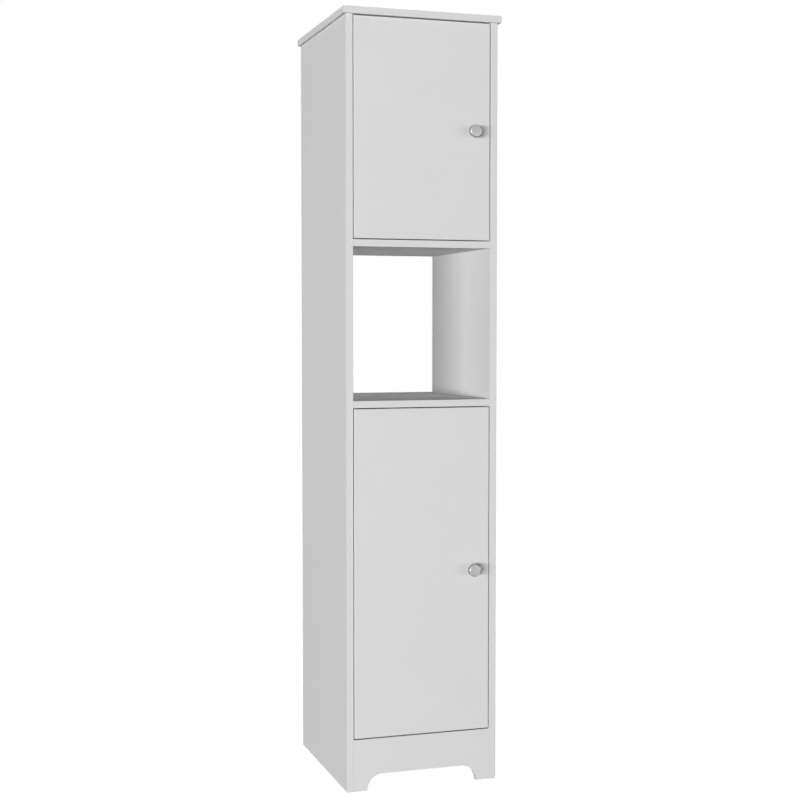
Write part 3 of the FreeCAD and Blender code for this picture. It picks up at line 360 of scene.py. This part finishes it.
# Faces of a board that show its raw core: (axis, way). The rest is covered with foil.
BACK_EDGE = (1, 1.0)
FOOT = (2, -1.0)
RAW_FACES = {
    "left_side_panel": (BACK_EDGE, FOOT),
    "right_side_panel": (BACK_EDGE, FOOT),
    "top_board": (BACK_EDGE,),
    "upper_fixed_shelf": (BACK_EDGE,),
    "lower_fixed_shelf": (BACK_EDGE,),
    "bottom_board": (BACK_EDGE,),
    "front_apron": (FOOT,),
    "upper_shelf": (BACK_EDGE,),
    "lower_shelf": (BACK_EDGE,),
    "second_lower_shelf": (BACK_EDGE,),
}


def white_board(node):
    return laminated_board(node, RAW_FACES.get(node, ()), drilled=node != "front_apron")


FINISHES = {
    "white_board": white_board,
    "hardboard": hardboard,
    "satin_metal": turned_metal,
    "nickel_steel": lambda node: pressed_metal(node, BRIGHT_NICKEL),
    "zinc_steel": lambda node: pressed_metal(node, ZINC_PLATE, grain=0.0006, roughness=(0.30, 0.44)),
    "zinc_cast": cast_metal,
    "beech": beech,
    "white_plastic": moulded_plastic,
    "magnet": ferrite,
}


def dress_frame():
    """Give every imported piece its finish."""
    for name, item in NODES.items():
        item.data.materials.clear()
        item.data.materials.append(FINISHES[SLOTS[name]](name))


# ---- turned pieces ----------------------------------------------------------------------------------

def arc(centre, radius, start, stop, steps=8):
    """Points on a circle's arc from one angle to another, in degrees."""
    angles = [math.radians(start + (stop - start) * step / steps) for step in range(steps + 1)]
    return [(centre[0] + radius * math.cos(angle), centre[1] + radius * math.sin(angle))
            for angle in angles]


def turn(mesh, profile, place, segments, relief=None):
    """Add a profile of (radius, height) points to a mesh, turned round Z and then put in its place.
    relief gives how far a point (x, y) is let in, for points written as (radius, height, True)."""
    rings = []
    for radius, height, *let_in in profile:
        ring = []
        for step in range(segments if radius > 0 else 1):
            angle = 2 * math.pi * step / segments
            x, y = radius * math.cos(angle), radius * math.sin(angle)
            depth = relief(x, y) if let_in else 0.0
            ring.append(mesh.verts.new(place @ Vector((x, y, height - depth))))
        rings.append(ring)
    for low, high in zip(rings, rings[1:]):
        for step in range(segments):
            after = (step + 1) % segments
            corners = [low[0]] if len(low) == 1 else [low[step], low[after]]
            corners += [high[0]] if len(high) == 1 else [high[after], high[step]]
            mesh.faces.new(corners)


def facing_along(origin, axis):
    """The place of a piece whose own Z points along an axis."""
    return Matrix.Translation(origin) @ axis.to_track_quat("Z", "Y").to_matrix().to_4x4()


def stand_in(name, node, body, mesh):
    """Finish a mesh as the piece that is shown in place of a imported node."""
    data = bpy.data.meshes.new(name)
    mesh.to_mesh(data)
    mesh.free()
    data.polygons.foreach_set("use_smooth", [True] * len(data.polygons))
    data.set_sharp_from_angle(angle=math.radians(SHARP_ANGLE))
    item = bpy.data.objects.new(name, data)
    bpy.context.scene.collection.objects.link(item)
    data.materials.append(FINISHES[SLOTS[node]](node))
    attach(item, body)
    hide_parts(node)


def solids(node):
    """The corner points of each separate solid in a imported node."""
    mesh = bmesh.new()
    mesh.from_mesh(NODES[node].data)
    bmesh.ops.remove_doubles(mesh, verts=mesh.verts, dist=WELD_DISTANCE)
    found, seen = [], set()
    for start in mesh.verts:
        if start in seen:
            continue
        seen.add(start)
        points, waiting = [], [start]
        while waiting:
            corner = waiting.pop()
            points.append(corner.co.copy())
            for edge in corner.link_edges:
                other = edge.other_vert(corner)
                if other not in seen:
                    seen.add(other)
                    waiting.append(other)
        found.append(points)
    mesh.free()
    return found


def extent(points):
    """The lowest and the highest corner of the points' box."""
    return [Vector([pick(point[axis] for point in points) for axis in range(3)]) for pick in (min, max)]


def knob(door):
    """A turned mushroom knob: foot, waisted neck, and a head with rounded edges."""
    node = door + "_knob"
    low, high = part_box(node)
    head, reach = (high.x - low.x) / 2, high.y - low.y
    underside = reach - KNOB_HEAD
    foot_cove = KNOB_FOOT - KNOB_NECK
    profile = [(0.0, 0.0), (KNOB_FOOT, 0.0)]
    profile += arc((KNOB_FOOT, KNOB_BASE + foot_cove), foot_cove, 270, 180)
    profile += arc((KNOB_NECK + KNOB_COVE, underside - KNOB_COVE), KNOB_COVE, 180, 90)
    profile += arc((head - KNOB_BACK_ROUND, underside + KNOB_BACK_ROUND), KNOB_BACK_ROUND, 270, 360)
    profile += arc((head - KNOB_FRONT_ROUND, reach - KNOB_FRONT_ROUND), KNOB_FRONT_ROUND, 0, 90)
    profile.append((0.0, reach))
    mesh = bmesh.new()
    base = Vector(((low.x + high.x) / 2, high.y, (low.z + high.z) / 2))
    turn(mesh, profile, facing_along(base, FRONT), KNOB_SEGMENTS)
    stand_in(door + "_turned_knob", node, door, mesh)


def cross_recess(width, reach, depth):
    """A recess of two crossed slots, which gets shallower towards the ends of its arms."""
    def relief(x, y):
        along, across = max(abs(x), abs(y)), min(abs(x), abs(y))
        inside = across < width / 2 and along < reach
        return depth * (1 - RECESS_RISE * along / reach) if inside else 0.0
    return relief


def screws(name, node, body, head_way):
    """Screws with a domed head and a cross recess. head_way is the way that the heads look."""
    mesh = bmesh.new()
    for points in solids(node):
        low, high = extent(points)
        centre = (low + high) / 2
        along = [(point - centre).dot(head_way) for point in points]
        across = [((point - centre) - head_way * reach).length for point, reach in zip(points, along)]
        head = max(across)
        seat = min(reach for reach, radius in zip(along, across) if radius > RIM_SHARE * head)
        thick = max(along) - seat
        tip = min(along) - seat
        shank = min(radius for radius in across if radius > AXIS_RADIUS)
        dome = [(head * math.cos(angle), thick * (DOME_START + (1 - DOME_START) * math.sin(angle)), True)
                for angle in (math.pi / 2 * step / DOME_RINGS for step in range(1, DOME_RINGS))]
        profile = [(0.0, tip), (shank * SCREW_POINT, tip), (shank, tip + shank), (shank, 0.0)]
        profile += [(head * HEAD_UNDERSIDE, 0.0), (head, thick * HEAD_CHAMFER), (head, thick * DOME_START)]
        profile += dome + [(0.0, thick, True)]
        relief = cross_recess(head * 2 * RECESS_WIDTH, head * RECESS_REACH, thick * RECESS_DEPTH)
        turn(mesh, profile, facing_along(centre + head_way * seat, head_way), FITTING_SEGMENTS, relief)
    stand_in(name, node, body, mesh)


def cam_faces():
    """Cam locks with a chamfered rim and a cross slot. Each looks the way in which it is flush with its
    board."""
    boards = [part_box(name) for name, slot in SLOTS.items() if slot == "white_board"]
    mesh = bmesh.new()
    for points in solids("cam_locks"):
        low, high = extent(points)
        size, centre = high - low, (low + high) / 2
        axis = min(range(3), key=lambda index: size[index])
        held_by = next(box for box in boards if all(box[0][i] < centre[i] < box[1][i] for i in range(3)))
        way = Vector((0, 0, 0))
        way[axis] = 1 if held_by[1][axis] - high[axis] < low[axis] - held_by[0][axis] else -1
        radius, height = max(size) / 2, size[axis]
        inner = radius - CAM_CHAMFER
        profile = [(0.0, 0.0), (radius, 0.0), (radius, height - CAM_CHAMFER), (inner, height)]
        profile += [(inner * step / CAM_RINGS, height, True) for step in range(CAM_RINGS - 1, 0, -1)]
        profile.append((0.0, height, True))
        turn(mesh, profile, facing_along(centre - way * height / 2, way), FITTING_SEGMENTS,
             cross_recess(*CAM_CROSS))
    stand_in("cam_locks_slotted", "cam_locks", "carcass", mesh)


def chamfered_pins():
    """The shelf pins, with their ends chamfered."""
    mesh = bmesh.new()
    for points in solids("shelf_pins"):
        low, high = extent(points)
        radius, length = (high.z - low.z) / 2, high.x - low.x
        profile = [(0.0, 0.0), (radius - PIN_CHAMFER, 0.0), (radius, PIN_CHAMFER),
                   (radius, length - PIN_CHAMFER), (radius - PIN_CHAMFER, length), (0.0, length)]
        start = Vector((low.x, (low.y + high.y) / 2, (low.z + high.z) / 2))
        turn(mesh, profile, facing_along(start, RIGHT), FITTING_SEGMENTS)
    stand_in("shelf_pins_chamfered", "shelf_pins", "carcass", mesh)


def fittings():
    """Put every detailed knob, screw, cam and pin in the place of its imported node."""
    cam_faces()
    chamfered_pins()
    screws("catch_screws_cross", "catch_screws", "carcass", LEFT)
    screws("wall_bracket_screws_cross", "wall_bracket_screws", "carcass", DOWN)
    for door in DOORS:
        knob(door)
        screws(door + "_knob_screw_cross", door + "_knob_screw", door, BACK)
        screws(door + "_cup_screws_cross", door + "_cup_screws", door, BACK)
        for kind in ("_hinge_arm_screws", "_hinge_plate_screws"):
            screws(door + kind + "_cross", door + kind, "carcass", RIGHT)


# ---- studio -----------------------------------------------------------------------------------------

def seen_or_mirrored(finish):
    """1 for rays from the camera and for those that a mirror or glass sends on, 0 for light."""
    rays = finish.node("LightPath").outputs
    seen = finish.math("MAXIMUM", rays["Is Camera Ray"], rays["Is Glossy Ray"])
    return finish.math("MAXIMUM", seen, rays["Is Transmission Ray"])


def surroundings():
    """A white background for the camera and for reflections, and walls that light the surfaces evenly from
    all round but not from above."""
    world = bpy.data.worlds.new("studio")
    bpy.context.scene.world = world
    world.use_nodes = True
    sky = Finish("studio", world.node_tree)
    way = sky.node("SeparateXYZ", {0: sky.node("TexCoord").outputs["Generated"]}).outputs[2]
    walls = sky.node("MapRange", {"Value": sky.math("ABSOLUTE", way), "From Max": FILL_HEIGHT,
                                  "To Min": FILL, "To Max": 0.0}, interpolation_type="SMOOTHSTEP")
    unseen = sky.math("SUBTRACT", 1.0, seen_or_mirrored(sky))
    light = sky.math("MULTIPLY", unseen, walls.outputs[0])
    strength = sky.math("ADD", light, seen_or_mirrored(sky))
    white = sky.node("Background", {"Strength": strength, "Color": (1.0, 1.0, 1.0)})
    sky.tree.links.new(white.outputs[0], sky.output.inputs["Surface"])


def floor():
    """A grey floor that takes the shadow. To the camera and in reflections it also glows, so that it looks
    white and meets the background."""
    half = FLOOR_HALF
    corners = [(-half, -half, 0), (half, -half, 0), (half, half, 0), (-half, half, 0)]
    mesh = bpy.data.meshes.new("floor")
    mesh.from_pydata(corners, [], [(0, 1, 2, 3)])
    item = bpy.data.objects.new("floor", mesh)
    item.location.z = CAD_LOW.z - FLOOR_DROP
    bpy.context.scene.collection.objects.link(item)
    finish = Finish("floor")
    grain = finish.noise(0.02)
    matt = finish.node("BsdfDiffuse", {"Color": finish.blend(grain, tone(FLOOR_GREY, 0.98), FLOOR_GREY)})
    away = finish.node("VectorMath", {0: finish.coordinates()}, operation="LENGTH").outputs["Value"]
    near, far = FLOOR_FADE
    level = finish.node("MapRange", {"Value": away, "From Min": near, "From Max": far,
                                     "To Min": FLOOR_GLOW, "To Max": 1.0}, interpolation_type="SMOOTHSTEP")
    glow = finish.math("MULTIPLY", seen_or_mirrored(finish), level.outputs[0])
    both = finish.node("AddShader", {0: matt.outputs[0],
                                     1: finish.node("Emission", {"Strength": glow}).outputs[0]})
    finish.tree.links.new(both.outputs[0], finish.output.inputs["Surface"])
    mesh.materials.append(finish.material)


def soft_lamp(name, aim, azimuth, distance, height, size, power):
    """A wide soft lamp, which the camera doesn't see."""
    lamp = bpy.data.lights.new(name, "AREA")
    lamp.shape = "RECTANGLE"
    lamp.size, lamp.size_y = size
    lamp.energy = power
    item = bpy.data.objects.new(name, lamp)
    angle = math.radians(azimuth)
    item.location = (aim.x - math.sin(angle) * distance, aim.y - math.cos(angle) * distance, height)
    item.rotation_euler = (aim - item.location).to_track_quat("-Z", "Y").to_euler()
    item.visible_camera = False
    bpy.context.scene.collection.objects.link(item)


def camera():
    """The camera at the photograph's viewing angle."""
    lens = bpy.data.cameras.new("camera")
    lens.lens = CAMERA_LENS
    lens.sensor_width = CAMERA_SENSOR
    lens.sensor_fit = "AUTO"
    item = bpy.data.objects.new("camera", lens)
    item.location = CAMERA_PLACE
    item.rotation_euler = (math.radians(90.0 + CAMERA_PITCH), 0.0, math.radians(-CAMERA_YAW))
    bpy.context.scene.collection.objects.link(item)
    bpy.context.scene.camera = item


dress_frame()
fittings()
surroundings()
floor()
for name, settings in LAMPS.items():
    soft_lamp(name, (CAD_LOW + CAD_HIGH) / 2, **settings)
camera()
bpy.context.scene.view_settings.view_transform = "Standard"
